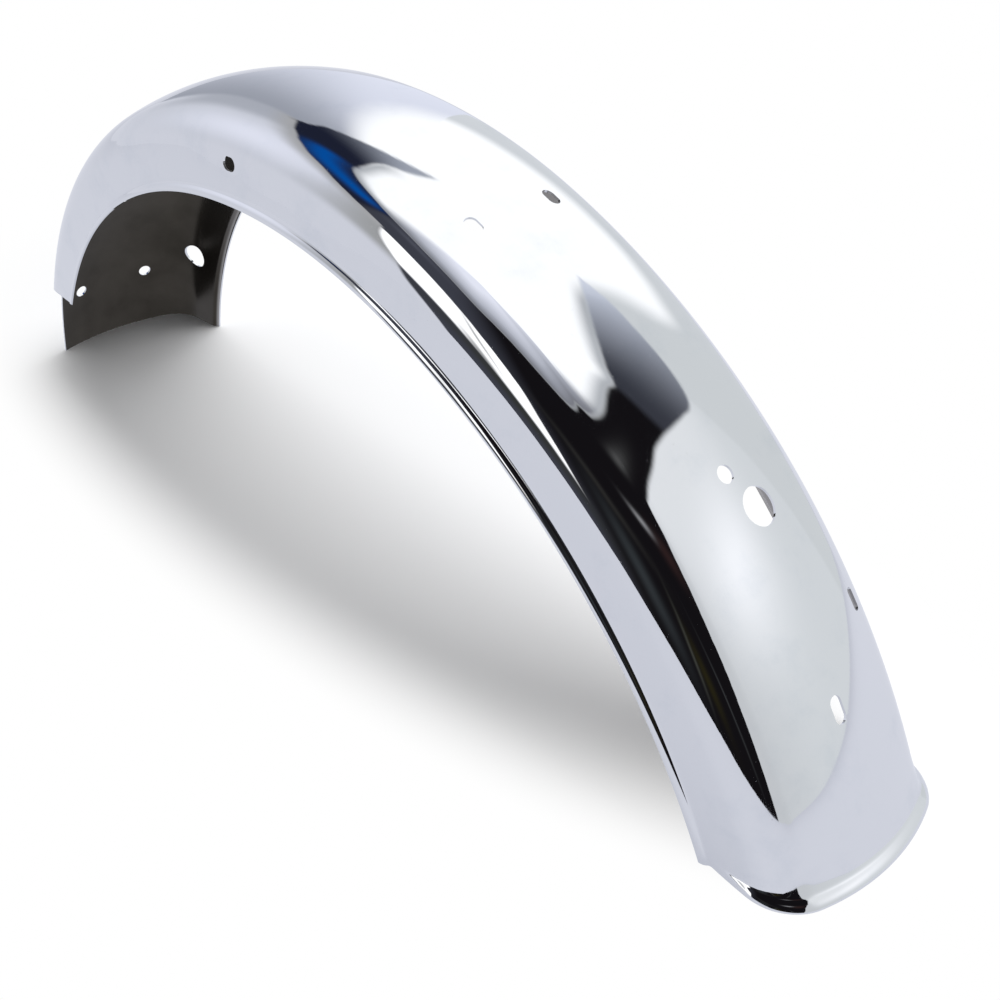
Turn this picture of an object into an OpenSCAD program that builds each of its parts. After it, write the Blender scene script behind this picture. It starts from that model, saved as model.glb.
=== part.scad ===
// Rear mudguard of a small motorcycle: one pressed and rolled steel sheet.
// It stands on its two ends as an arch. X runs from the front end to the tail,
// Y across the wheel, Z up. The floor is Z = 0, and the wheel turns about Y.

/* [Sheet] */
// Thickness of the steel sheet
sheet_t = 1.2; // [0.8:0.1:1.6]

/* [Arch] */
// Crown radius of the front stretch, where the sheet hugs the wheel
crown_r_front = 287; // [270:1:320]
// Crown radius of the middle stretch
crown_r_mid = 340; // [325:1:360]
// Crown radius of the tail stretch, which opens away from the wheel
crown_r_rear = 408; // [380:1:430]
// Angle at which the front stretch meets the middle, from the tail side
join_front = 98; // [90:1:110]
// Angle at which the tail stretch meets the middle
join_rear = 71; // [65:1:80]
// Depth of the middle stretch's centre under the floor
centre_drop = 96; // [85:1:105]

/* [Cross section] */
// Radius of the shallow crown
crown_arc_r = 134; // [110:1:160]
// Half angle of the crown arc
crown_half_angle = 16.8; // [14:0.2:18]
// Radius of the shoulders
shoulder_r = 23; // [18:0.5:26]
// Angle of the side walls: 90 is square to the crown
wall_angle = 84.5; // [80:0.5:88]
// Height of the flat side wall under the shoulder
wall_h = 18.5; // [14:0.5:22]

/* [Rolled lips] */
// Outer radius of the bead along both side edges
lip_r = 4.5; // [3.5:0.5:6]
// Direction in which the bead leaves the wall
lip_crease_angle = 32; // [25:1:40]
// How far the tail lip flares out
flare_out = 4.5; // [3:0.5:6]
// Height of the tail lip over the floor
flare_h = 6; // [4:0.5:8]
// Share of the flare that is left where it meets the side beads
flare_fade = 0.2; // [0.1:0.05:1]

/* [Holes] */
// Angle of the pair of crown slots, on the tail arc's centre
pair_angle = 69.8; // [60:0.2:70]
// Distance between the two crown slots, centre to centre
pair_pitch = 47; // [40:1:56]
// Width of the crown slots
pair_slot_w = 6.5; // [5:0.5:8.5]
// Length of the crown slots along the arch
pair_slot_l = 10; // [9:0.5:14]
// Angle of the small lamp hole, on the tail arc's centre
lamp_bolt_angle = 48.8; // [45:0.1:55]
// Diameter of the small lamp hole
lamp_bolt_d = 8.5; // [6:0.5:10]
// Angle of the lamp's grommet hole
grommet_angle = 46.2; // [42:0.1:46.4]
// Diameter of the grommet hole
grommet_d = 18; // [14:0.5:22]
// How far the grommet hole lies from the middle line
grommet_y = 8; // [0:0.5:12]
// Angle of the tail slot on the middle line
tail_slot_angle = 33.4; // [30:0.1:36]
// Width of the tail slot
tail_slot_w = 7; // [5:0.5:9]
// Length of the tail slot along the arch
tail_slot_l = 13; // [10:0.5:18]
// Angle of the narrow clip slot in the far shoulder
clip_slot_angle = 38.1; // [36:0.1:44]
// How far the clip slot lies from the middle line
clip_slot_y = 38.5; // [36:0.5:42]
// Width of the clip slot
clip_slot_w = 4; // [3:0.5:6]
// Length of the clip slot along the arch
clip_slot_l = 11; // [8:0.5:14]
// Angle of the side slots, on the middle arc's centre
side_slot_angle = 93.8; // [88:0.2:96]
// Depth of the side slots under the crown
side_slot_drop = 28; // [25:0.5:32]
// Width of the side slots
side_slot_w = 7; // [5:0.5:9]
// Length of the side slots along the arch
side_slot_l = 10; // [9:0.5:14]
// Angle of the front pair of holes, on the front arc's centre
front_pair_angle = 162.4; // [156:0.1:165]
// Distance between the two front holes, centre to centre
front_pair_pitch = 49; // [40:1:60]
// Diameter of the front holes
front_hole_d = 8; // [6:0.5:9]
// Height of the wiring hole in the far wall over the floor
wiring_z = 52.7; // [45:0.5:65]
// Distance of the wiring hole behind the front end
wiring_x = 37; // [30:1:45]
// Diameter of the wiring hole
wiring_d = 16; // [10:1:18]

/* [Chain cut-out] */
// Distance of the cut's upright edge from the middle line
notch_y = 41; // [38:1:48]
// Height of the cut's inner corner over the floor
notch_z = 52; // [40:1:70]
// Slope of the cut's upper edge
notch_slope = 38; // [20:1:45]
// Radius of the cut's inner corner
notch_r = 6; // [3:1:10]

/* [Hidden] */
$fn = 96;

// The three arcs are tangent, so each centre lies on the line through a join
function polar(r, a) = [r * cos(a), r * sin(a)];
centre_mid = [0, -centre_drop];
centre_front = centre_mid + polar(crown_r_mid - crown_r_front, join_front);
centre_rear = centre_mid + polar(crown_r_mid - crown_r_rear, join_rear);
overrun = 6;
end_front = 180 + overrun - asin(-centre_front[1] / crown_r_front);
end_rear = asin(-centre_rear[1] / crown_r_rear) - overrun;

// Half of the cross section, with x as the distance from the arch's centre
crown_c = [-crown_arc_r, 0];
shoulder_c = crown_c + polar(crown_arc_r - shoulder_r, crown_half_angle);
wall_top = shoulder_c + polar(shoulder_r, wall_angle);
wall_foot = wall_top + polar(wall_h, wall_angle + 90);
lip_c = wall_foot - polar(lip_r, lip_crease_angle);
half_w = lip_c[1] + lip_r;

// The crown's furthest points at the floor centre the part on the origin
front_x = centre_front[0] - sqrt(pow(crown_r_front, 2) - pow(centre_front[1], 2));
tail_x = centre_rear[0] + sqrt(pow(crown_r_rear + flare_out, 2) - pow(centre_rear[1], 2));
mid_x = (front_x + tail_x) / 2;

// Points along an arc; the last one is left out where the next stretch starts with it
function turned(c, r, from, to, n, last) = [
    for (i = [0 : last ? n : n - 1]) c + polar(r, from + (to - from) * i / n)
];

// Half of the sheet's surface from the crown to the foot of the wall, grown outwards by g
function half_body(g, n = 12) = concat(
    turned(crown_c, crown_arc_r + g, 0, crown_half_angle, round(n * 2 / 3), false),
    turned(shoulder_c, shoulder_r + g, crown_half_angle, wall_angle, n, true)
);

// The same with the wall and the rolled side bead
function half_sheet(g) = concat(
    half_body(g),
    g == 0 ? [] : [wall_foot + polar(g, wall_angle)],
    turned(lip_c, lip_r + g, lip_crease_angle, 90, 6, true)
);

// Both halves, from the lip on the far side to the lip on the near side
function both_sides(half) = concat(
    [for (i = [len(half) - 1 : -1 : 1]) [half[i][0], -half[i][1]]],
    half
);

// Crown, shoulders, side walls and rolled side beads
module section() {
    outer = both_sides(half_sheet(0));
    inner = both_sides(half_sheet(-sheet_t));
    polygon(concat(outer, [for (i = [len(inner) - 1 : -1 : 0]) inner[i]]));
}

// The section rolled about an axis across the wheel, between two directions
module rolled(crown_r, from, to) {
    rotate([90, 0, 0])
    rotate_extrude(start = from, angle = to - from)
    translate([crown_r, 0])
    section();
}

// An end stretch of another radius, moved so that it is tangent to the middle at the join
module end_stretch(join, crown_r, from, to) {
    rotate([0, -join, 0])
    translate([crown_r_mid - crown_r, 0, 0])
    rotate([0, join, 0])
    rolled(crown_r, from, to);
}

// Everything before a join (side -1) or past it (side 1), as seen from the tail
module beyond(join, side) {
    reach = 600;
    rotate([0, -join, 0])
    translate([0, -reach / 2, min(0, side * reach)])
    cube(reach);
}

module arch() {
    translate([0, 0, -centre_drop]) {
        difference() {
            rolled(crown_r_mid, join_rear - 2, join_front + 2);
            beyond(join_rear, -1);
            beyond(join_front, 1);
        }
        intersection() {
            end_stretch(join_rear, crown_r_rear, end_rear, join_rear + 2);
            beyond(join_rear, -1);
        }
        intersection() {
            end_stretch(join_front, crown_r_front, join_front - 2, end_front);
            beyond(join_front, 1);
        }
    }
}

// A point of the section, brought to height z on the tail
function at_height(p, z) = [
    centre_rear[0] + sqrt(pow(crown_r_rear + p[0], 2) - pow(z - centre_rear[1], 2)),
    p[1]
];
// Level outline of the tail at height z, grown outwards by g, less so at the side beads
function faded(g) = g > 0 ? flare_fade * g : g;
function outline(g, z) = [
    for (p = both_sides(concat(half_body(g, 8), [wall_foot + polar(faded(g), wall_angle)]))) at_height(p, z)
];

// Convex bead below the crease: each level is [growth, height]
flare_start = 8;
flare_stop = 90;
flare_r = flare_h / cos(flare_start);
flare_in = flare_r - flare_out;
levels = 4;
function flare_level(i, inset) = let (a = flare_start + (flare_stop - flare_start) * i / levels) [
    (flare_r - inset) * sin(a) - flare_in,
    (flare_r - inset) * cos(a)
];

module level(growth, z) {
    translate([0, 0, z])
    linear_extrude(0.01)
    polygon(outline(growth, max(z, 0)));
}

// Flared lip round the tail, convex below the crease and open towards the wheel
module tail_lip() {
    reach = 40;
    top = [-1.3 * sheet_t, flare_h + sheet_t];
    foot = [flare_level(levels, sheet_t)[0], -1];
    inner = concat([top], [for (i = [0 : levels]) flare_level(i, sheet_t)], [foot]);
    color("gainsboro")
    difference() {
        hull()
        for (i = [0 : levels]) level(flare_level(i, 0)[0], flare_level(i, 0)[1]);
        hull()
        for (l = inner, x = [0, -reach]) translate([x, 0, 0]) level(l[0], l[1]);
    }
}

// The near wall and shoulder are cut away at the front end, clear of the chain
module chain_cutout() {
    far = 90;
    corner = [-notch_y - notch_r, notch_z + notch_r * (tan(notch_slope) - 1 / cos(notch_slope))];
    rise = (far - notch_y) * tan(notch_slope);
    rotate([90, 0, 90])
    translate([0, 0, -400])
    linear_extrude(300)
    polygon(concat(
        [[-notch_y, -10]],
        [for (i = [0 : 8]) corner + polar(notch_r, (90 - notch_slope) * i / 8)],
        [[-far, notch_z + rise], [-far, -10]]
    ));
}

module slot(w, l, h) {
    for (side = [-1, 1]) translate([side * (l - w) / 2, 0, 0]) cylinder(d = w, h = h, center = true);
    cube([l - w, w, h], center = true);
}

// Puts a punch square to the crown, y off the middle line
module on_tail_crown(angle, y = 0) {
    translate([centre_rear[0], 0, centre_rear[1]])
    rotate([0, -angle, 0])
    translate([crown_r_rear - crown_arc_r, 0, 0])
    rotate([0, 0, asin(y / crown_arc_r)])
    translate([crown_arc_r, 0, 0])
    rotate([0, 90, 0])
    children();
}

punch_h = 12;
module tail_holes() {
    for (side = [-1, 1])
        on_tail_crown(pair_angle, side * pair_pitch / 2) slot(pair_slot_w, pair_slot_l, punch_h);
    on_tail_crown(lamp_bolt_angle) cylinder(d = lamp_bolt_d, h = punch_h, center = true);
    on_tail_crown(grommet_angle, grommet_y) cylinder(d = grommet_d, h = punch_h, center = true);
    on_tail_crown(tail_slot_angle) slot(tail_slot_w, tail_slot_l, punch_h);
    on_tail_crown(clip_slot_angle, clip_slot_y) slot(clip_slot_w, clip_slot_l, punch_h);
}

module front_holes() {
    translate([centre_front[0], 0, centre_front[1]])
    rotate([0, -front_pair_angle, 0])
    for (side = [-1, 1])
        translate([crown_r_front, side * front_pair_pitch / 2, 0])
        rotate([0, 90, 0])
        cylinder(d = front_hole_d, h = punch_h, center = true);
    translate([front_x + wiring_x, half_w, wiring_z])
    rotate([90, 0, 0])
    cylinder(d = wiring_d, h = 3 * punch_h, center = true);
}

// One pair of slots right through both side walls
module side_slots() {
    place = centre_mid + polar(crown_r_mid - side_slot_drop, side_slot_angle);
    translate([place[0], 0, place[1]])
    rotate([0, 90 - side_slot_angle, 0])
    rotate([90, 0, 0])
    slot(side_slot_w, side_slot_l, 3 * half_w);
}

// The floor, and room for the tail lip between the two side beads
module floor_cut() {
    tail_cut = flare_h - 1.25 * sheet_t;
    bead_y = lip_c[1] + (lip_r - sheet_t) * sin(lip_crease_angle) - 0.1;
    translate([-500, -100, -200]) cube([1000, 200, 200]);
    translate([0, -bead_y, -1]) cube([500, 2 * bead_y, tail_cut + 1]);
}

module mudguard() {
    color("gainsboro")
    translate([-mid_x, 0, 0]) {
        difference() {
            arch();
            floor_cut();
            chain_cutout();
            tail_holes();
            front_holes();
            side_slots();
        }
        tail_lip();
    }
}

mudguard();
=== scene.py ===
import bpy
from math import asin, atan2, cos, degrees, hypot, pi, radians, sin, sqrt, tan
from mathutils import Matrix, Vector


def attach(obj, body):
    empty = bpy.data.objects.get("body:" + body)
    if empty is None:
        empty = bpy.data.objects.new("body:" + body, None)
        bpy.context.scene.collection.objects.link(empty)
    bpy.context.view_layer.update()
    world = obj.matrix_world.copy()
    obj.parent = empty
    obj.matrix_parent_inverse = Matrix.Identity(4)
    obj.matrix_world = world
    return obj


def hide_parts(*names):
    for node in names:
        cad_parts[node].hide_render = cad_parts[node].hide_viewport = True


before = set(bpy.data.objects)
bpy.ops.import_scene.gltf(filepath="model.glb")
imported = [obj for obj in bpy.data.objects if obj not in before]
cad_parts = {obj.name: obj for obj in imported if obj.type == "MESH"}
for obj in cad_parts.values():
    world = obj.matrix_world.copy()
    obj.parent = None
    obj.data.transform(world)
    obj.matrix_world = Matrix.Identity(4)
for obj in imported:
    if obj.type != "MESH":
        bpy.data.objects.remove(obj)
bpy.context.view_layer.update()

# Driving dimensions, in metres, and angles in degrees
mm = 0.001

# How near counts as on a cut, as one point, as at the top of the arch, and as at a crease
CLOSE, MERGE, SAME, NEAR = 0.002 * mm, 0.005 * mm, 0.01 * mm, 0.05 * mm

sheet_t = 1.2 * mm

# The arch: the crown's radius in its three arcs, the bearings of the two joins, and how far
# the middle arc's centre lies under the floor
crown_r_front, crown_r_mid, crown_r_rear = 287 * mm, 340 * mm, 408 * mm
join_front, join_rear = 98, 71
centre_drop = 96 * mm

# The cross section: crown, shoulder, leaning wall and side bead
crown_arc_r = 134 * mm
crown_half_angle = 16.8
shoulder_r = 23 * mm
wall_angle = 84.5
wall_h = 18.5 * mm
bead_r = 4.5 * mm
bead_crease_angle = 32
crease_fillet = 1.2 * mm

# The tail: how far it flares in all, where the flare starts, the crease of its lip, the foot,
# the growth for each drop at each of these, and the shoulder's angle where the flare fades
flare_out = 4.5 * mm
flare_h = 6 * mm
flare_top = 3 * flare_h
crease_out, crease_z = 0.25 * flare_out, 0.75 * flare_h
foot_out = 0.9 * flare_out
flare_slope, crease_slope, foot_slope = 0.17, 1.3, -0.1
fade_from, fade_power = 60, 1.5
below_floor = 1 * mm

# Holes: width, length of a slot, bearing on the arc, and distance off the middle line
pair_slot_width, pair_slot_length, pair_slot_at, pair_slot_y = 6.5 * mm, 10 * mm, 69.8, 23.5 * mm
lamp_hole_width, lamp_hole_at = 8.5 * mm, 48.8
grommet_hole_width, grommet_hole_at, grommet_hole_y = 18 * mm, 46.2, 8 * mm
tail_slot_width, tail_slot_length, tail_slot_at = 7 * mm, 13 * mm, 33.4
clip_slot_width, clip_slot_length, clip_slot_at, clip_slot_y = 4 * mm, 11 * mm, 38.1, 38.5 * mm
front_hole_width, front_hole_at, front_hole_y = 8 * mm, 162.4, 24.5 * mm
# The side slots' depth under the crown, and the wiring hole's distance from the front end
side_slot_width, side_slot_length, side_slot_at, side_slot_depth = 7 * mm, 10 * mm, 93.8, 28 * mm
wiring_hole_width, wiring_hole_x, wiring_hole_z = 16 * mm, 37 * mm, 52.7 * mm
punch_depth = 12 * mm

# The chain cut-out: its inner corner, how steeply it rises outwards, and the corner's bevel
notch_y, notch_z, notch_slope, notch_bevel = 41 * mm, 52 * mm, 38, 4.2 * mm

# Steps along the section, round the arch and down the tail lip, and the greatest angle that
# is shaded smooth
crown_steps, shoulder_steps, wall_steps, bead_steps, fillet_steps = 14, 22, 6, 8, 4
mid_rear_steps, rear_steps, mid_front_steps, front_steps = 34, 110, 14, 122
flare_steps, lip_steps, soft_steps = 8, 14, 5
smooth_under = 32


def polar(r, a):
    """A point at a distance and a direction in degrees."""
    return Vector((r * cos(radians(a)), r * sin(radians(a))))


# The three arcs of the arch are tangent, so each centre lies on the line through a join
mid = Vector((0, -centre_drop))
front = mid + polar(crown_r_mid - crown_r_front, join_front)
rear = mid + polar(crown_r_mid - crown_r_rear, join_rear)
front_x = front.x - sqrt(crown_r_front ** 2 - front.y ** 2)
tail_x = rear.x + sqrt((crown_r_rear + flare_out) ** 2 - rear.y ** 2)
shift = Vector(((front_x + tail_x) / 2, 0))
mid, front, rear, front_x = mid - shift, front - shift, rear - shift, front_x - shift.x
overrun = 4
end_front = 180 + overrun - degrees(asin(-front.y / crown_r_front))
end_rear = degrees(asin(-rear.y / crown_r_rear)) - overrun

# Half of the cross section: how deep under the crown, and how far from the middle line
crown_c = Vector((-crown_arc_r, 0))
shoulder_c = crown_c + polar(crown_arc_r - shoulder_r, crown_half_angle)
wall_top = shoulder_c + polar(shoulder_r, wall_angle)
wall_foot = wall_top + polar(wall_h, wall_angle + 90)
bead_c = wall_foot - polar(bead_r, bead_crease_angle)
half_w = bead_c.y + bead_r

# The tail lip lies between the beads, so it ends just inside the creases
body_y = wall_foot.y - NEAR


# Working in edit mode
def drop_selection():
    if bpy.context.object and bpy.context.object.mode != "OBJECT":
        bpy.ops.object.mode_set(mode="OBJECT")
    bpy.ops.object.select_all(action="DESELECT")


def hold(piece):
    drop_selection()
    piece.select_set(True)
    bpy.context.view_layer.objects.active = piece


def edit(piece):
    hold(piece)
    bpy.ops.object.mode_set(mode="EDIT")
    bpy.ops.mesh.select_mode(type="VERT")


def settle(piece):
    """The object's place and turn go into its mesh."""
    hold(piece)
    bpy.ops.object.transform_apply(location=True, rotation=True, scale=True)


def pick(piece, wanted):
    """Selects the vertices whose place passes the test."""
    hold(piece)
    mesh = piece.data
    mesh.polygons.foreach_set("select", [False] * len(mesh.polygons))
    mesh.edges.foreach_set("select", [False] * len(mesh.edges))
    mesh.vertices.foreach_set("select", [wanted(v.co) for v in mesh.vertices])
    bpy.ops.object.mode_set(mode="EDIT")
    bpy.ops.mesh.select_mode(type="VERT")


def turn(centre, axis, angle, steps):
    """Spins the selection by a right-handed angle; the operator turns the other way."""
    bpy.ops.mesh.spin(steps=steps, angle=-radians(angle), center=centre, axis=axis)


def push(value):
    bpy.ops.mesh.extrude_region_move(TRANSFORM_OT_translate={"value": value})


def finish_modifier(piece, name):
    hold(piece)
    bpy.ops.object.modifier_apply(modifier=name)


def crown_view(centre, crown_r, depth_side):
    """A point of the cross section as it stands at the top of an arc."""
    return (centre.x, depth_side.y, centre.y + crown_r + depth_side.x)


# The pressed sheet
def half_section():
    """Crown, shoulder, side wall and rolled bead of one side, as a chain of edges."""
    drop_selection()
    crown_top = crown_view(mid, crown_r_mid, Vector((0, 0)))
    bpy.ops.mesh.primitive_plane_add(size=10 * mm, location=crown_top)
    sheet = bpy.context.object
    sheet.name = "mudguard_shell"
    sheet.data.name = "mudguard_shell"
    settle(sheet)
    edit(sheet)
    bpy.ops.mesh.select_all(action="SELECT")
    bpy.ops.mesh.merge(type="CENTER")
    across = (-1, 0, 0)
    turn(crown_view(mid, crown_r_mid, crown_c), across, crown_half_angle, crown_steps)
    shoulder_angle = wall_angle - crown_half_angle
    turn(crown_view(mid, crown_r_mid, shoulder_c), across, shoulder_angle, shoulder_steps)
    down = polar(wall_h / wall_steps, wall_angle + 90)
    for _ in range(wall_steps):
        push((0, down.y, down.x))
    turn(crown_view(mid, crown_r_mid, bead_c), across, 90 - bead_crease_angle, bead_steps)
    crease = Vector(crown_view(mid, crown_r_mid, wall_foot))
    pick(sheet, lambda co: (co - crease).length < NEAR)
    bpy.ops.mesh.bevel(offset=crease_fillet, segments=fillet_steps, affect="VERTICES")
    bpy.ops.object.mode_set(mode="OBJECT")
    return sheet


def whole_section(sheet):
    mirror = sheet.modifiers.new("other_side", "MIRROR")
    mirror.use_axis = (False, True, False)
    mirror.use_mirror_merge = True
    mirror.merge_threshold = SAME
    finish_modifier(sheet, mirror.name)


def roll_arch(sheet):
    """The section is rolled both ways from the top of the arch, along three tangent arcs."""
    around = (0, 1, 0)

    def centre(c):
        return (c.x, 0, c.y)

    def at_top(co):
        return abs(co.x - mid.x) < SAME

    pick(sheet, at_top)
    turn(centre(mid), around, 90 - join_rear, mid_rear_steps)
    turn(centre(rear), around, join_rear - end_rear, rear_steps)
    pick(sheet, at_top)
    turn(centre(mid), around, 90 - join_front, mid_front_steps)
    turn(centre(front), around, join_front - end_front, front_steps)


def bend(first, corner, last, steps):
    """A smooth bend that leaves one point towards the corner, and comes from it to the other."""
    steps_done = [(i + 1) / steps for i in range(steps)]
    return [first * (1 - t) ** 2 + corner * 2 * t * (1 - t) + last * t ** 2 for t in steps_done]


def lip_profile():
    """Growth and height down the tail: a gentle flare, a soft crease and a convex lip.

    The last level lies a little below the floor.
    """
    start, crease = Vector((0, flare_top)), Vector((crease_out, crease_z))
    foot = Vector((foot_out, 0))
    flare_corner = Vector((0, crease.y + crease.x / flare_slope))
    fall = (foot.x - crease.x - foot_slope * crease.y) / (crease_slope - foot_slope)
    lip_corner = crease + Vector((crease_slope, -1)) * fall
    flare = bend(start, flare_corner, crease, flare_steps)
    lip = bend(crease, lip_corner, foot, lip_steps)
    soft = bend(flare[-2], crease, lip[1], soft_steps)
    levels = [start] + flare[:-1] + soft + lip[2:]
    return [(level.x, level.y) for level in levels] + [(foot.x, -below_floor)]


def section_place(co):
    """A tail point's place in the section, the way out from it, and its share of the flare."""
    spot = Vector((hypot(co.x - rear.x, co.z - rear.y) - crown_r_rear, abs(co.y)))
    shoulder_run = shoulder_r * radians(wall_angle - fade_from)
    if spot.y < shoulder_c.y + shoulder_r * sin(radians(crown_half_angle)):
        return spot, (spot - crown_c).normalized(), 1.0
    if spot.x > wall_top.x:
        out = (spot - shoulder_c).normalized()
        along = shoulder_r * (atan2(out.y, out.x) - radians(fade_from))
    else:
        out = polar(1, wall_angle)
        along = shoulder_run + (spot - wall_top).length
    whole = shoulder_run + wall_h - crease_fillet
    if abs(co.y) > body_y:
        along = whole
    return spot, out, 1 - max(0, min(along / whole, 1)) ** fade_power


def cut_level(height, fill=False):
    """What is selected is cut off below a height."""
    place_of_cut, up = (0, 0, height), (0, 0, 1)
    bpy.ops.mesh.bisect(
        plane_co=place_of_cut, plane_no=up, clear_inner=True, use_fill=fill, threshold=CLOSE
    )
    bpy.ops.object.mode_set(mode="OBJECT")


def trim_ends(sheet):
    """The front is cut a little below the floor, and the tail where its lip starts."""
    pick(sheet, lambda co: co.x < mid.x)
    cut_level(-below_floor)
    pick(sheet, lambda co: co.x > mid.x)
    cut_level(flare_top)


def flare_tail(sheet):
    """The tail is drawn down level by level.

    The beads run on, and the body between them grows outwards.
    """
    profile = lip_profile()
    pick(sheet, lambda co: co.x > mid.x and abs(co.z - flare_top) < CLOSE)
    bpy.ops.object.mode_set(mode="OBJECT")
    rim = [v.co for v in sheet.data.vertices if v.select]
    ring = [(co.xy.copy(), 1 if co.y > 0 else -1, section_place(co)) for co in rim]
    bpy.ops.object.mode_set(mode="EDIT")
    for (_, z_before), (growth, z) in zip(profile, profile[1:]):
        push((0, 0, z - z_before))
        bpy.ops.object.mode_set(mode="OBJECT")
        moved = []
        for v in sheet.data.vertices:
            if not v.select:
                continue
            _, side, (spot, out, share) = min(ring, key=lambda r: (r[0] - v.co.xy).length)
            grown = spot + out * growth * share
            v.co.x = rear.x + sqrt((crown_r_rear + grown.x) ** 2 - (z - rear.y) ** 2)
            v.co.y = side * grown.y
            moved.append((v.co.xy.copy(), side, (spot, out, share)))
        ring = moved
        bpy.ops.object.mode_set(mode="EDIT")
    bpy.ops.object.mode_set(mode="OBJECT")


def stand_level(sheet):
    """The thick sheet is cut level with the floor at both ends."""
    edit(sheet)
    bpy.ops.mesh.select_all(action="SELECT")
    cut_level(0, fill=True)


def face_outwards(sheet):
    """Points in one place are merged, and the faces turned to the outside of the arch."""
    edit(sheet)
    bpy.ops.mesh.select_all(action="SELECT")
    bpy.ops.mesh.remove_doubles(threshold=MERGE)
    bpy.ops.mesh.normals_make_consistent(inside=False)
    bpy.ops.object.mode_set(mode="OBJECT")
    top = max(sheet.data.polygons, key=lambda f: f.center.z)
    if top.normal.z < 0:
        edit(sheet)
        bpy.ops.mesh.select_all(action="SELECT")
        bpy.ops.mesh.flip_normals()
        bpy.ops.object.mode_set(mode="OBJECT")


def thicken(sheet):
    wall = sheet.modifiers.new("sheet_thickness", "SOLIDIFY")
    wall.thickness = sheet_t
    wall.offset = -1
    wall.use_even_offset = True
    wall.material_offset = 1
    wall.material_offset_rim = 0
    finish_modifier(sheet, wall.name)


# Punched holes
def punch(name, width, length=0, depth=punch_depth):
    """A round punch, drawn out along X where it cuts a slot."""
    drop_selection()
    count = 64
    bpy.ops.mesh.primitive_cylinder_add(
        vertices=count, radius=width / 2, depth=depth, rotation=(0, 0, pi / count)
    )
    tool = bpy.context.object
    tool.name = name
    settle(tool)
    if length > width:
        for side in (-1, 1):
            pick(tool, lambda co, side=side: co.x * side > 0)
            bpy.ops.transform.translate(value=(side * (length - width) / 2, 0, 0))
        bpy.ops.object.mode_set(mode="OBJECT")
    return tool


def place(tool, matrix):
    tool.matrix_world = matrix
    settle(tool)
    return tool


def turned(angle, axis):
    return Matrix.Rotation(radians(angle), 4, axis)


def on_tail_crown(angle, y=0.0):
    """Square to the crown of the tail stretch, y off the middle line."""
    aside = degrees(asin(y / crown_arc_r))
    return (
        Matrix.Translation((rear.x, 0, rear.y)) @ turned(-angle, "Y")
        @ Matrix.Translation((crown_r_rear - crown_arc_r, 0, 0)) @ turned(aside, "Z")
        @ Matrix.Translation((crown_arc_r, 0, 0)) @ turned(90, "Y")
    )


def hole_punches():
    """One punch for each hole, or for both holes where it goes through both walls."""
    tools = []
    for side in (-1, 1):
        pair_spot = on_tail_crown(pair_slot_at, side * pair_slot_y)
        tools.append(place(punch("pair_slot", pair_slot_width, pair_slot_length), pair_spot))
    tail_spot, clip_spot = on_tail_crown(tail_slot_at), on_tail_crown(clip_slot_at, clip_slot_y)
    grommet_spot = on_tail_crown(grommet_hole_at, grommet_hole_y)
    tools.append(place(punch("lamp_bolt_hole", lamp_hole_width), on_tail_crown(lamp_hole_at)))
    tools.append(place(punch("grommet_hole", grommet_hole_width), grommet_spot))
    tools.append(place(punch("tail_slot", tail_slot_width, tail_slot_length), tail_spot))
    tools.append(place(punch("clip_slot", clip_slot_width, clip_slot_length), clip_spot))

    front_turn = Matrix.Translation((front.x, 0, front.y)) @ turned(-front_hole_at, "Y")
    for side in (-1, 1):
        spot = Matrix.Translation((crown_r_front, side * front_hole_y, 0)) @ turned(90, "Y")
        tools.append(place(punch("front_hole", front_hole_width), front_turn @ spot))

    middle = mid + polar(crown_r_mid - side_slot_depth, side_slot_at)
    through = Matrix.Translation((middle.x, 0, middle.y))
    through = through @ turned(90 - side_slot_at, "Y") @ turned(90, "X")
    tools.append(place(punch("side_slots", side_slot_width, side_slot_length, 3 * half_w), through))

    wiring = Matrix.Translation((front_x + wiring_hole_x, half_w, wiring_hole_z))
    wiring_punch = punch("wiring_hole", wiring_hole_width, depth=3 * punch_depth)
    tools.append(place(wiring_punch, wiring @ turned(90, "X")))
    return tools


def chain_cutter():
    """A block with one rounded inner corner, over the near wall at the front end."""
    x_from, x_to, far_y, z_from, z_to = -400 * mm, -100 * mm, 90 * mm, -10 * mm, 50 * mm
    rise = (far_y - notch_y) * tan(radians(notch_slope))
    drop_selection()
    centre = ((x_from + x_to) / 2, -(far_y + notch_y) / 2, (z_from + z_to) / 2)
    bpy.ops.mesh.primitive_cube_add(size=1, location=centre)
    block = bpy.context.object
    block.name = "chain_cutout"
    block.scale = (x_to - x_from, far_y - notch_y, z_to - z_from)
    settle(block)
    pick(block, lambda co: co.z > 0 and co.y < -far_y + mm)
    bpy.ops.transform.translate(value=(0, 0, notch_z + rise - z_to))
    pick(block, lambda co: co.z > 0 and co.y > -notch_y - mm)
    bpy.ops.transform.translate(value=(0, 0, notch_z - z_to))
    bpy.ops.mesh.bevel(offset=notch_bevel, segments=8, affect="EDGES")
    bpy.ops.object.mode_set(mode="OBJECT")
    return block


def cut_holes(sheet):
    tools = hole_punches() + [chain_cutter()]
    drop_selection()
    for tool in tools:
        tool.select_set(True)
    bpy.context.view_layer.objects.active = tools[0]
    bpy.ops.object.join()
    cutter = tools[0]
    cutter.name = "cutters"
    cut = sheet.modifiers.new("punched", "BOOLEAN")
    cut.operation = "DIFFERENCE"
    cut.solver = "EXACT"
    cut.object = cutter
    finish_modifier(sheet, cut.name)
    hold(cutter)
    bpy.ops.object.delete()


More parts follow.
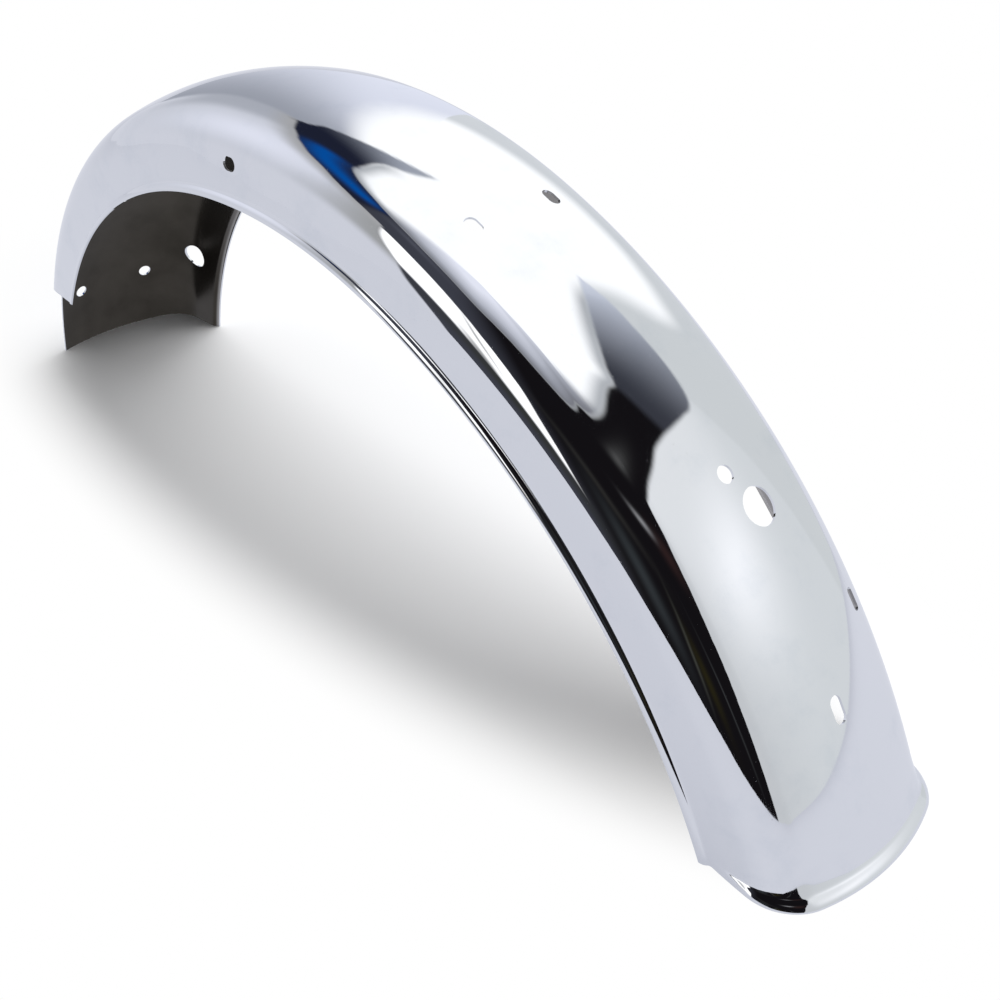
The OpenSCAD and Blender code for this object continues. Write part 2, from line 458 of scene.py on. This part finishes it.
# Materials
class Nodes:
    """Short names for the shader nodes used below."""

    def __init__(self, tree):
        self.tree = tree
        tree.nodes.clear()

    def add(self, kind, **inputs):
        node = self.tree.nodes.new(kind)
        for key, value in inputs.items():
            self.feed(node, key.replace("_", " "), value)
        return node

    def feed(self, node, name, value):
        socket = node.inputs[int(name)] if name.isdigit() else node.inputs[name]
        if hasattr(value, "is_output"):
            self.tree.links.new(value, socket)
        else:
            socket.default_value = value

    def math(self, operation, a, b=0.0, c=0.0):
        node = self.tree.nodes.new("ShaderNodeMath")
        node.operation = operation
        for i, value in enumerate((a, b, c)):
            self.feed(node, str(i), value)
        return node.outputs[0]

    def ramp(self, value, low, high, out_low=0.0, out_high=1.0):
        node = self.tree.nodes.new("ShaderNodeMapRange")
        node.interpolation_type = "SMOOTHSTEP"
        for name, v in (("Value", value), ("From Min", low), ("From Max", high)):
            self.feed(node, name, v)
        self.feed(node, "To Min", out_low)
        self.feed(node, "To Max", out_high)
        return node.outputs[0]

    def ramp_linear(self, value, low, high):
        node = self.tree.nodes.new("ShaderNodeMapRange")
        self.feed(node, "Value", value)
        self.feed(node, "From Min", low)
        self.feed(node, "From Max", high)
        return node.outputs[0]

    def mix_shader(self, factor, a, b):
        node = self.tree.nodes.new("ShaderNodeMixShader")
        self.feed(node, "0", factor)
        self.tree.links.new(a, node.inputs[1])
        self.tree.links.new(b, node.inputs[2])
        return node.outputs[0]

    def finish(self, kind, shader):
        self.tree.links.new(shader, self.tree.nodes.new(kind).inputs[0])

    def blend(self, factor, a, b):
        node = self.tree.nodes.new("ShaderNodeMix")
        node.data_type = "RGBA"
        node.clamp_factor = True
        self.feed(node, "0", factor)
        for socket, value in ((node.inputs[6], a), (node.inputs[7], b)):
            if hasattr(value, "is_output"):
                self.tree.links.new(value, socket)
            else:
                socket.default_value = (*value, 1.0)
        return node.outputs[2]

    def times(self, *masks):
        out = masks[0]
        for m in masks[1:]:
            out = self.math("MULTIPLY", out, m)
        return out

    def noise(self, vector, scale, detail=2.0, roughness=0.5):
        node = self.tree.nodes.new("ShaderNodeTexNoise")
        self.feed(node, "Vector", vector)
        self.feed(node, "Scale", scale)
        self.feed(node, "Detail", detail)
        self.feed(node, "Roughness", roughness)
        return node.outputs[0]


def new_material(name):
    made = bpy.data.materials.new(name)
    made.use_nodes = True
    return made, Nodes(made.node_tree)


def polished_chrome():
    """Bright chrome plating with fine polishing lines, faint waves, smudges and specks."""
    made, n = new_material("polished_chrome")
    place_in_object = n.add("ShaderNodeTexCoord").outputs["Object"]
    waves = n.noise(place_in_object, 18, 1.0)
    drawn_out = n.add("ShaderNodeMapping", Vector=place_in_object, Scale=(9.0, 420.0, 9.0))
    lines = n.noise(drawn_out.outputs[0], 4, 3.0, 0.6)
    smudge = n.ramp(n.noise(place_in_object, 34, 5.0, 0.62), 0.48, 0.78)
    specks = n.ramp(n.noise(place_in_object, 900, 1.0), 0.74, 0.8)
    roughness = n.math("MULTIPLY_ADD", lines, 0.012, 0.022)
    roughness = n.math("MULTIPLY_ADD", smudge, 0.035, roughness)
    roughness = n.math("MULTIPLY_ADD", specks, 0.15, roughness)
    slow = n.add("ShaderNodeBump", Strength=0.10, Distance=4 * mm, Height=waves).outputs[0]
    fine = n.add("ShaderNodeBump", Strength=0.02, Distance=0.2 * mm, Height=lines, Normal=slow)
    clean, smudged = (0.80, 0.81, 0.83), (0.74, 0.76, 0.79)
    tint = n.blend(smudge, clean, smudged)
    shader = n.add("ShaderNodeBsdfPrincipled", Metallic=1.0, Roughness=roughness)
    n.feed(shader, "Normal", fine.outputs[0])
    n.feed(shader, "Base Color", tint)
    n.finish("ShaderNodeOutputMaterial", shader.outputs[0])
    return made


def bare_inside():
    """The inside takes only a dull flash of plating.

    It is stained. A painted reflection darkens the front end, for the dark room mirrored there,
    and a painted highlight brightens the hem along the side beads.
    """
    made, n = new_material("dull_inside")
    place_in_object = n.add("ShaderNodeTexCoord").outputs["Object"]
    stains = n.noise(place_in_object, 16, 6.0, 0.6)
    grain = n.noise(place_in_object, 1400, 2.0)
    stained = n.ramp(stains, 0.35, 0.7)
    dark = n.blend(stained, (0.070, 0.062, 0.050), (0.042, 0.037, 0.029))
    pale = n.blend(stained, (0.40, 0.385, 0.375), (0.32, 0.305, 0.285))
    along, aside, _ = n.add("ShaderNodeSeparateXYZ", Vector=place_in_object).outputs
    # painted reflection: the front end's inside is painted dark for the dark room it mirrors, and
    # paler further back for the table
    painted_dark_to, painted_pale_from = -275 * mm, -170 * mm
    shade = n.blend(n.ramp(along, painted_dark_to, painted_pale_from), dark, pale)
    # painted highlight: the hem along the side beads is painted brighter for the light lines
    # mirrored there
    hem_highlight_from, hem_highlight_to = wall_foot.y - 0.3 * mm, wall_foot.y + 1.2 * mm
    hem_highlight = n.ramp(n.math("ABSOLUTE", aside), hem_highlight_from, hem_highlight_to)
    shade = n.blend(hem_highlight, shade, (0.46, 0.445, 0.42))
    roughness = n.math("MULTIPLY_ADD", grain, 0.04, 0.16)
    roughness = n.math("MULTIPLY_ADD", stains, 0.12, roughness)
    bump = n.add("ShaderNodeBump", Strength=0.15, Distance=0.2 * mm, Height=grain).outputs[0]
    shader = n.add("ShaderNodeBsdfPrincipled", Metallic=1.0, Roughness=roughness, Normal=bump)
    n.feed(shader, "Base Color", shade)
    n.finish("ShaderNodeOutputMaterial", shader.outputs[0])
    return made


# The studio
def studio_floor():
    """A white table top that keeps the shadow, and that the chrome mirrors as a pale tone.

    It ends just behind the camera, and the chrome mirrors the dark room past its edge.
    """
    drop_selection()
    edge_front, edge_back, edge_side = -0.49, 3.0, 3.0
    half = 0.5
    bpy.ops.mesh.primitive_plane_add(size=2 * half, location=(0, 0, 0))
    table = bpy.context.object
    table.name = "table_top"
    pick(table, lambda co: co.y < 0)
    bpy.ops.transform.translate(value=(0, edge_front + half, 0))
    pick(table, lambda co: co.y > 0)
    bpy.ops.transform.translate(value=(0, edge_back - half, 0))
    bpy.ops.mesh.select_all(action="SELECT")
    bpy.ops.transform.resize(value=(2 * edge_side, 1, 1))
    bpy.ops.object.mode_set(mode="OBJECT")
    made, n = new_material("white_table")
    ray = n.add("ShaderNodeLightPath")
    diffuse = n.add("ShaderNodeBsdfDiffuse", Color=(0.95, 0.955, 0.965, 1)).outputs[0]
    white = n.add("ShaderNodeEmission", Color=(1, 1, 1, 1), Strength=1.0).outputs[0]
    pale = n.add("ShaderNodeEmission", Color=(0.70, 0.72, 0.81, 1), Strength=1.0).outputs[0]
    # the shadow lies in an ellipse, and past it the camera sees plain white
    middle_x, middle_y, reach_x, reach_y = -0.08, 0.04, 0.45, 0.165
    place_on_table = n.add("ShaderNodeTexCoord").outputs["Object"]
    x, y, _ = n.add("ShaderNodeSeparateXYZ", Vector=place_on_table).outputs
    along = n.math("MULTIPLY_ADD", x, 1 / reach_x, -middle_x / reach_x)
    aside = n.math("MULTIPLY_ADD", y, 1 / reach_y, -middle_y / reach_y)
    away = n.math("SQRT", n.math("ADD", n.times(along, along), n.times(aside, aside)))
    open_table = n.ramp(away, 0.64, 1.03)
    seen = n.mix_shader(n.times(ray.outputs["Is Camera Ray"], open_table), diffuse, white)
    mirrored = n.mix_shader(n.times(ray.outputs["Is Glossy Ray"], 0.8), seen, pale)
    n.finish("ShaderNodeOutputMaterial", mirrored)
    table.data.materials.append(made)


class Room:
    """Bearings and heights, in degrees, on the wall of the studio dome.

    Bearings run from 130 past the front end (180), the near side (270) and the tail (360)
    to the far side (450) and 490.
    """

    def __init__(self, n):
        self.n = n
        place_in_room = n.add("ShaderNodeTexCoord").outputs["Object"]
        x, y, z = n.add("ShaderNodeSeparateXYZ", Vector=place_in_room).outputs
        to_degrees = 180 / pi
        flat = n.math("SQRT", n.math("ADD", n.times(x, x), n.times(y, y)))
        around = n.math("MULTIPLY", n.math("ARCTAN2", y, x), to_degrees)
        early = n.math("LESS_THAN", around, 130.0)
        self.bearing = n.math("MULTIPLY_ADD", early, 360.0, around)
        self.height = n.math("MULTIPLY", n.math("ARCTAN2", z, flat), to_degrees)

    def line(self, *points):
        """A drawn line of heights over bearings."""
        n = self.n
        first, last = points[0][0], points[-1][0]
        node = n.tree.nodes.new("ShaderNodeFloatCurve")
        drawn = node.mapping.curves[0]
        while len(drawn.points) < len(points):
            drawn.points.new(0.5, 0.5)
        for point, (bearing, height) in zip(drawn.points, points):
            point.location = ((bearing - first) / (last - first), (height + 90) / 180)
            point.handle_type = "AUTO_CLAMPED"
        node.mapping.update()
        n.feed(node, "Value", n.ramp_linear(self.bearing, first, last))
        return n.math("MULTIPLY_ADD", node.outputs[0], 180, -90)

    def above(self, line, soft):
        return self.n.ramp(self.n.math("SUBTRACT", self.height, line), -soft, soft)

    def below(self, line, soft):
        return self.n.ramp(self.n.math("SUBTRACT", self.height, line), -soft, soft, 1.0, 0.0)

    def past(self, bearing, soft):
        return self.n.ramp(self.bearing, bearing - soft, bearing + soft)

    def before(self, bearing, soft):
        return self.n.ramp(self.bearing, bearing - soft, bearing + soft, 1.0, 0.0)

    def between(self, first, last, soft):
        return self.n.times(self.past(first, soft), self.before(last, soft))

    def spot(self, bearing, height, wide, tall, lean=0.0):
        """A soft patch; lean moves it along the bearing for each degree of height."""
        n = self.n
        up = n.math("SUBTRACT", self.height, height)
        aside = n.math("MULTIPLY_ADD", up, -lean, n.math("SUBTRACT", self.bearing, bearing))
        a = n.math("POWER", n.math("ABSOLUTE", n.math("DIVIDE", aside, wide)), 2.0)
        b = n.math("POWER", n.math("ABSOLUTE", n.math("DIVIDE", up, tall)), 2.0)
        return n.math("POWER", 0.37, n.math("ADD", a, b))


# What the chrome mirrors is drawn on the dome, as lines of (bearing, height)
BOX_WHITE = (1.25, 1.26, 1.27)
BIG_BOX_EDGE = (440, 52), (446, 30), (454, 24), (466, 22), (486, 21), (490, 21)
LEFT_BOX_EDGE = (130, 21), (137, 27), (144, 36), (150, 46), (156, 56), (170, 58)
DARK_TOP = (
    (130, 56), (140, 57.5), (150, 56), (158, 57), (172, 59), (195, 60.5), (212, 60), (235, 57),
    (262, 55.5), (280, 59.5), (300, 61), (320, 62), (340, 65), (352, 66.5), (370, 64),
    (380, 62.5), (400, 61), (406, 59.2), (412, 60), (421, 59.5), (430, 58), (440, 55), (452, 50),
)
DARK_FOOT_LEFT = (
    (130, 56.5), (140, 53.5), (146, 50.5), (150, 47.5), (155, 42), (159, 37), (161, 20),
    (163, -90),
)
DARK_FOOT_RIGHT = (
    (340, -90), (341.5, -20), (342.3, 3), (344, 12), (347, 25), (350, 33), (355, 40), (360, 44),
    (365, 48.5), (372, 50.3), (380, 51), (390, 51), (400, 49.5), (410, 46), (418, 42),
    (424, 38.5), (426.5, 38), (440, 45), (451, 51.5),
)
SCREEN_TOP = (
    (158, 37), (165, 42), (172, 45), (180, 46.5), (190, 47.5), (200, 47), (210, 46), (220, 43),
    (230, 39.5), (240, 37),
)
WINDOW_SILL = (236, 8), (250, 3), (266, 0)
WINDOW_LINTEL = (236, 35), (255, 29), (265, 20)

# Faint gleams in the dark room: bearing, height, width, tallness, lean and colour
GLEAMS = (
    (327, 42.5, 8, 1.6, 0.0, (0.30, 0.30, 0.31)),
    (360, 57.0, 13, 2.2, 0.0, (0.085, 0.085, 0.085)),
    (342, 40.0, 10, 4.0, 0.0, (0.030, 0.016, 0.016)),
    (285, 8.0, 8, 11.0, 0.0, (0.035, 0.040, 0.044)),
    (303, 10.0, 1.4, 9.0, 0.35, (0.060, 0.062, 0.055)),
    (309, 9.0, 5.0, 7.0, 0.0, (0.022, 0.019, 0.008)),
    (327, 12.0, 1.2, 9.0, -0.3, (0.042, 0.044, 0.046)),
    (288, 26.0, 16, 3.0, 0.0, (0.026, 0.025, 0.024)),
    (252, -3.0, 14, 7.0, 0.0, (0.040, 0.042, 0.040)),
    (244, 51.0, 9, 3.0, 0.0, (0.085, 0.090, 0.115)),
)


def studio_walls():
    """What the chrome mirrors: pale screens, soft boxes, and the dark room round the camera."""
    made, n = new_material("studio_walls")
    room = Room(n)
    above, below, past, before = room.above, room.below, room.past, room.before

    # pale walls on the far side, bearings 341 to 490 and 130 to 160
    wall = n.blend(past(372, 20), (0.66, 0.68, 0.70), (0.77, 0.80, 0.82))
    wall = n.blend(past(426.5, 0.8), wall, (0.72, 0.75, 0.765))
    wall = n.blend(past(455, 18), wall, (0.74, 0.77, 0.80))
    left_wall = n.blend(past(148, 11), (0.84, 0.87, 0.99), (0.38, 0.40, 0.46))
    wall = n.blend(before(165, 0.5), wall, left_wall)
    wall = n.blend(n.times(room.spot(390, 33, 19, 13), 0.9), wall, (1.20, 1.21, 1.24))
    upper_wall = n.times(past(366, 6), before(424, 4), above(38.0, 10))
    wall = n.blend(upper_wall, wall, (0.90, 0.92, 0.94))

    # the big soft box over the far side, which goes on past the seam of the bearings
    big_box = n.times(past(447, 4), above(room.line(*BIG_BOX_EDGE), 3.5))
    wall = n.blend(big_box, wall, BOX_WHITE)
    left_box = n.times(before(160, 2), above(room.line(*LEFT_BOX_EDGE), 8))
    wall = n.blend(left_box, wall, BOX_WHITE)

    # the dark room
    upper = room.line(*DARK_TOP)
    left_foot, right_foot = room.line(*DARK_FOOT_LEFT), room.line(*DARK_FOOT_RIGHT)
    dark = n.times(below(upper, 0.8), above(left_foot, 0.8), above(right_foot, 0.7))

    # over it, a grey haze on the camera's side and white elsewhere
    climb = n.math("SUBTRACT", room.height, upper)
    haze = n.blend(n.ramp_linear(climb, 0.0, 9.0), (0.20, 0.205, 0.23), (0.52, 0.54, 0.61))
    haze = n.blend(n.ramp_linear(climb, 8.0, 24.0), haze, (0.95, 0.97, 1.08))
    hazy = n.times(past(222, 14), before(379, 5))
    over = n.blend(n.ramp(climb, 0.0, 5.0), (0.45, 0.47, 0.50), BOX_WHITE)
    over = n.blend(hazy, over, haze)
    over = n.blend(n.math("MAXIMUM", past(444, 6), before(146, 5)), over, BOX_WHITE)
    wall = n.blend(above(n.math("ADD", upper, 0.3), 0.8), wall, over)

    # its black, blue towards the front end and grey towards the far side
    black = n.blend(past(264, 12), (0.055, 0.058, 0.076), (0.0075, 0.0065, 0.008))
    black = n.blend(before(231, 2.5), black, (0.014, 0.017, 0.035))
    all_round = 9999
    blue = n.times(past(169, 8), before(227, 5), room.spot(0, 52.5, all_round, 4.6))
    black = n.blend(blue, black, (0.002, 0.085, 0.38))
    black = n.blend(before(148, 10), black, (0.40, 0.43, 0.50))
    paling = n.ramp_linear(room.bearing, 408.0, 444.0)
    grey_end = n.blend(n.times(paling, paling), (0.045, 0.048, 0.062), (0.62, 0.66, 0.76))
    grey_end = n.blend(past(446, 5), grey_end, (0.8, 0.84, 0.95))
    black = n.blend(past(405, 2.5), black, grey_end)
    for *gleam, colour in GLEAMS:
        black = n.blend(room.spot(*gleam), black, colour)
    wall = n.blend(dark, wall, black)

    # the pale screen at the front end's side
    screen_top = room.line(*SCREEN_TOP)
    screen_side = n.ramp_linear(room.height, -18.0, 6.0)
    side_gap = n.math("SUBTRACT", room.bearing, n.math("MULTIPLY_ADD", screen_side, 6.5, 232.0))
    within = n.ramp(side_gap, -0.7, 0.7, 1.0, 0.0)
    screen = n.times(past(159, 0.8), within, below(screen_top, 0.7))
    cloth = n.blend(room.spot(204, 30, 24, 20), (0.66, 0.68, 0.75), (0.90, 0.92, 1.03))
    cloth = n.blend(n.times(before(168, 9), above(0.0, 20)), cloth, (0.46, 0.48, 0.54))
    cloth = n.blend(past(229, 10), cloth, (0.40, 0.405, 0.41))
    near_top = n.ramp(n.math("SUBTRACT", room.height, screen_top), -9.0, 0.0)
    cloth = n.blend(near_top, cloth, (0.45, 0.45, 0.46))
    cloth = n.blend(n.ramp(room.height, -3.0, 14.0, 1.0, 0.0), cloth, (0.74, 0.756, 0.83))
    wall = n.blend(screen, wall, cloth)

    # a bright window past the screen
    sill, lintel = room.line(*WINDOW_SILL), room.line(*WINDOW_LINTEL)
    window = n.times(room.between(238.8, 264.5, 0.8), above(sill, 2.5), below(lintel, 1.0))
    bars = n.math("MAXIMUM", room.spot(255, 18, 0.9, 9), room.spot(250, 5, 2.5, 5))
    panes = n.blend(n.times(bars, 0.75), (1.5, 1.5, 1.5), (0.10, 0.10, 0.10))
    wall = n.blend(window, wall, panes)

    light = n.add("ShaderNodeEmission", Color=wall, Strength=1.0).outputs[0]
    n.finish("ShaderNodeOutputMaterial", light)
    return made


def studio_dome():
    """The painted dome, which only mirror reflections see."""
    drop_selection()
    room_r = 6
    bpy.ops.mesh.primitive_uv_sphere_add(
        segments=64, ring_count=32, radius=room_r, location=(0, 0, 0)
    )
    dome = bpy.context.object
    dome.name = "studio_dome"
    dome.visible_camera = False
    dome.visible_diffuse = False
    dome.visible_transmission = False
    dome.visible_shadow = False
    dome.data.materials.append(studio_walls())


def studio_world():
    """Plain white where it is seen or mirrored, and a softer even light on everything else."""
    world = bpy.data.worlds.new("soft_white")
    bpy.context.scene.world = world
    world.use_nodes = True
    n = Nodes(world.node_tree)
    ray = n.add("ShaderNodeLightPath")
    mirrored = n.math("MAXIMUM", ray.outputs["Is Glossy Ray"], ray.outputs["Is Transmission Ray"])
    seen = n.math("MAXIMUM", ray.outputs["Is Camera Ray"], mirrored)
    soft_light = 0.42
    strength = n.ramp(seen, 0.0, 1.0, soft_light, 1.0)
    back = n.add("ShaderNodeBackground", Color=(1, 1, 1, 1), Strength=strength)
    n.finish("ShaderNodeOutputWorld", back.outputs[0])


def soft_lamp(name, place_of_lamp, size, watts):
    """A soft box aimed at the part; the chrome doesn't show it."""
    bpy.ops.object.light_add(type="AREA", location=place_of_lamp)
    lamp = bpy.context.object
    lamp.name = name
    lamp.data.shape = "SQUARE"
    lamp.data.size = size
    lamp.data.energy = watts
    lamp.visible_glossy = False
    part_middle = Vector((0, 0, 0.1))
    aim = part_middle - Vector(lamp.location)
    lamp.rotation_euler = aim.to_track_quat("-Z", "Y").to_euler()


def photo_camera():
    """The photograph's viewpoint, from the fit of the arch to its outline."""
    stand_at = Vector((0.469191, -0.374938, 0.449347))
    yaw, pitch, roll = 2.37538, -0.62081, 0.0186
    focal_px, image_px, sensor = 1305.547, 1000, 36
    ahead = Vector((cos(pitch) * cos(yaw), cos(pitch) * sin(yaw), sin(pitch)))
    side = ahead.cross(Vector((0, 0, 1))).normalized()
    up = side.cross(ahead)
    right = side * cos(roll) + up * sin(roll)
    top = up * cos(roll) - side * sin(roll)
    camera = bpy.data.cameras.new("photo_camera")
    camera.sensor_width = sensor
    camera.sensor_fit = "HORIZONTAL"
    camera.lens = focal_px * sensor / image_px
    camera.clip_start = 0.01
    stand = bpy.data.objects.new("photo_camera", camera)
    bpy.context.collection.objects.link(stand)
    turn_to = Matrix((right, top, -ahead)).transposed().to_4x4()
    stand.matrix_world = Matrix.Translation(stand_at) @ turn_to
    bpy.context.scene.camera = stand


# Making it
photo_camera()

shell = half_section()
whole_section(shell)
roll_arch(shell)
face_outwards(shell)
trim_ends(shell)
flare_tail(shell)
face_outwards(shell)
shell.data.materials.append(polished_chrome())
shell.data.materials.append(bare_inside())
thicken(shell)
stand_level(shell)
cut_holes(shell)
hold(shell)
bpy.ops.object.shade_smooth_by_angle(angle=radians(smooth_under))

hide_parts("mudguard")
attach(shell, "root")

studio_floor()
studio_dome()
studio_world()
soft_lamp("back_soft_box", place_of_lamp=(0.15, 0.8, 1.7), size=1.8, watts=34)
bpy.context.scene.view_settings.view_transform = "Standard"
